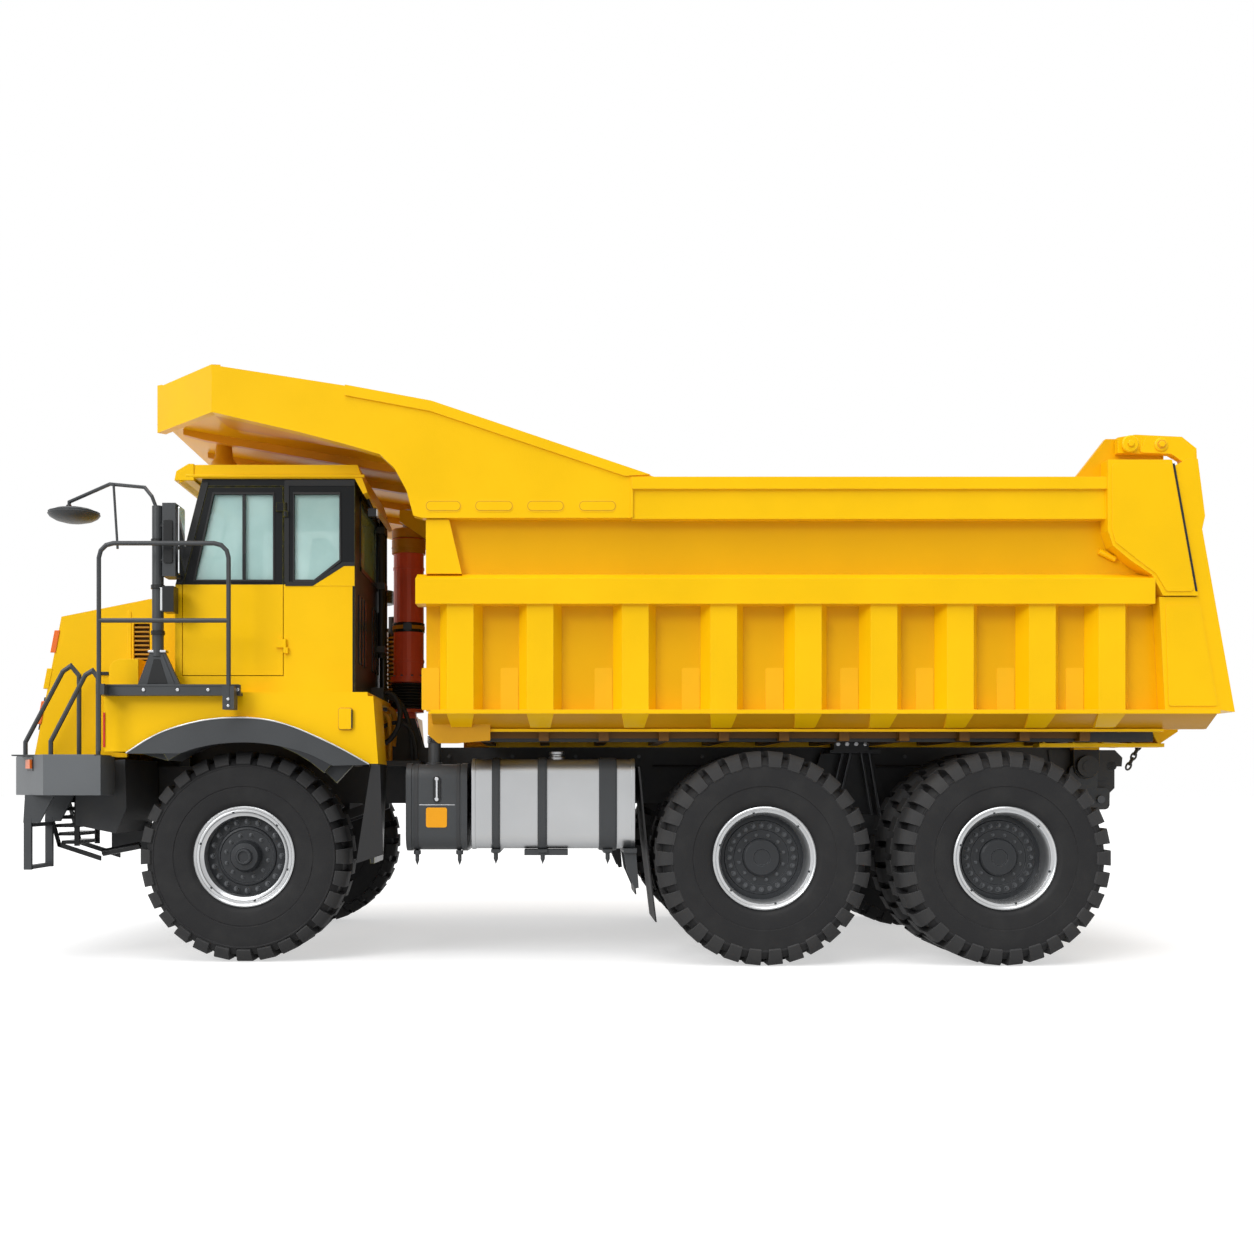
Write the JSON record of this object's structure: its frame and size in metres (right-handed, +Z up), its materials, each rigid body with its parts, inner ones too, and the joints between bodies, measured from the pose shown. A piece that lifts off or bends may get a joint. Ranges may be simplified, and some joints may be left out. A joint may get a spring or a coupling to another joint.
{
  "type": "mining dump truck",
  "caption": "Wide-body mining dump truck with an offset cab, tipping bed with a canopy, telescopic hoist, top-hung tailgate, steered front wheels and twin rear wheels",
  "frame": {"origin": "on the ground, under the middle of the truck", "axes": "+X forward, +Y to the truck's left, +Z up"},
  "size_m": [8.567, 3.89, 4.144],
  "materials": {
    "yellow": "satin machine yellow paint",
    "dark": "satin dark grey paint",
    "bumper_grey": "satin grey paint",
    "rubber": "matt rubber",
    "rim": "satin dark grey paint, bright rim flange",
    "aluminium": "brushed",
    "steel": "ground and plated",
    "red": "satin red paint",
    "glass": "clear, slightly green",
    "trim": "matt"
  },
  "bodies": {
    "chassis": {"chassis_frame": "dark", "front_bumper": "bumper_grey", "hood": "yellow", "grille": "dark", "engine_block": "dark", "fender_left": "yellow", "fender_right": "yellow", "deck_rail_left": "dark", "deck_rail_right": "dark", "mirror_left": "dark", "mirror_right": "dark", "grab_rails": "dark", "fuel_tank": "aluminium", "hydraulic_tank": "dark", "battery_box": "dark", "front_axle": "dark", "rear_axles": "dark", "air_cleaner": "dark", "exhaust_stack": "dark", "mudflap_left": "rubber", "mudflap_right": "rubber", "cab_body": "yellow", "cab_roof": "yellow", "windscreen": "glass", "side_glass": "glass", "rear_glass": "glass", "right_glass": "glass", "driver_seat": "trim", "dashboard": "trim", "steering_wheel": "trim"},
    "knuckle_left": {"knuckle_left": "dark"},
    "knuckle_right": {"knuckle_right": "dark"},
    "wheel_front_left": {"front_tyre_left": "rubber", "front_rim_left": "rim"},
    "wheel_front_right": {"front_tyre_right": "rubber", "front_rim_right": "rim"},
    "cab_door": {"cab_door": "yellow", "door_glass": "glass"},
    "bed": {"bed_floor": "yellow", "bed_side_left": "yellow", "bed_side_right": "yellow", "bed_front_wall": "yellow", "bed_canopy": "yellow"},
    "tailgate": {"tailgate": "yellow"},
    "hoist_barrel": {"hoist_barrel": "red"},
    "hoist_stage_1": {"hoist_stage_1": "steel"},
    "hoist_stage_2": {"hoist_stage_2": "steel"},
    "hoist_stage_3": {"hoist_stage_3": "steel"},
    "wheel_rear_1_left": {"rear_1_twin_wheel_left": "rubber"},
    "wheel_rear_1_right": {"rear_1_twin_wheel_right": "rubber"},
    "wheel_rear_2_left": {"rear_2_twin_wheel_left": "rubber"},
    "wheel_rear_2_right": {"rear_2_twin_wheel_right": "rubber"}
  },
  "joints": [
    {"name": "steer_left", "type": "hinge", "parent": "chassis", "child": "knuckle_left", "pos_m": [2.56, 1.12, 0.745], "axis": [0, 0, 1], "range_deg": [-30, 30]},
    {"name": "spin_front_left", "type": "hinge", "parent": "knuckle_left", "child": "wheel_front_left", "pos_m": [2.56, 1.385, 0.745], "axis": [0, 1, 0], "continuous": true},
    {"name": "steer_right", "type": "hinge", "parent": "chassis", "child": "knuckle_right", "pos_m": [2.56, -1.12, 0.745], "axis": [0, 0, 1], "range_deg": [-30, 30]},
    {"name": "spin_front_right", "type": "hinge", "parent": "knuckle_right", "child": "wheel_front_right", "pos_m": [2.56, -1.385, 0.745], "axis": [0, 1, 0], "continuous": true},
    {"name": "spin_rear_1_left", "type": "hinge", "parent": "chassis", "child": "wheel_rear_1_left", "pos_m": [-1.085, 1.615, 0.745], "axis": [0, 1, 0], "continuous": true},
    {"name": "spin_rear_1_right", "type": "hinge", "parent": "chassis", "child": "wheel_rear_1_right", "pos_m": [-1.085, -1.615, 0.745], "axis": [0, 1, 0], "continuous": true},
    {"name": "spin_rear_2_left", "type": "hinge", "parent": "chassis", "child": "wheel_rear_2_left", "pos_m": [-2.745, 1.615, 0.745], "axis": [0, 1, 0], "continuous": true},
    {"name": "spin_rear_2_right", "type": "hinge", "parent": "chassis", "child": "wheel_rear_2_right", "pos_m": [-2.745, -1.615, 0.745], "axis": [0, 1, 0], "continuous": true},
    {"name": "bed_tip", "type": "hinge", "parent": "chassis", "child": "bed", "pos_m": [-3.8, 0, 1.4], "axis": [0, -1, 0], "range_deg": [0, 45]},
    {"name": "tailgate_swing", "type": "hinge", "parent": "bed", "child": "tailgate", "pos_m": [-3.57, 0, 3.583], "axis": [0, 1, 0], "range_deg": [0, 60]},
    {"name": "door_swing", "type": "hinge", "parent": "chassis", "child": "cab_door", "pos_m": [2.262, 1.614, 2.69], "axis": [0, 0, 1], "range_deg": [0, 18]},
    {"name": "hoist_lean", "type": "hinge", "parent": "chassis", "child": "hoist_barrel", "pos_m": [1.57, 0, 1.74], "axis": [0, -1, 0], "range_deg": [0, 33]},
    {"name": "hoist_slide_1", "type": "slide", "parent": "hoist_barrel", "child": "hoist_stage_1", "axis": [0, 0, 1], "range_m": [0, 1.36]},
    {"name": "hoist_slide_2", "type": "slide", "parent": "hoist_stage_1", "child": "hoist_stage_2", "axis": [0, 0, 1], "range_m": [0, 1.36]},
    {"name": "hoist_slide_3", "type": "slide", "parent": "hoist_stage_2", "child": "hoist_stage_3", "axis": [0, 0, 1], "range_m": [0, 1.36]}
  ],
  "couplings": [
    {"joint": "steer_right", "follows": "steer_left", "ratio": 1},
    {"joint": "hoist_lean", "follows": "bed_tip", "ratio": 0.7035},
    {"joint": "hoist_slide_1", "follows": "bed_tip", "m_per_rad": 1.72},
    {"joint": "hoist_slide_2", "follows": "bed_tip", "m_per_rad": 1.72},
    {"joint": "hoist_slide_3", "follows": "bed_tip", "m_per_rad": 1.72}
  ]
}
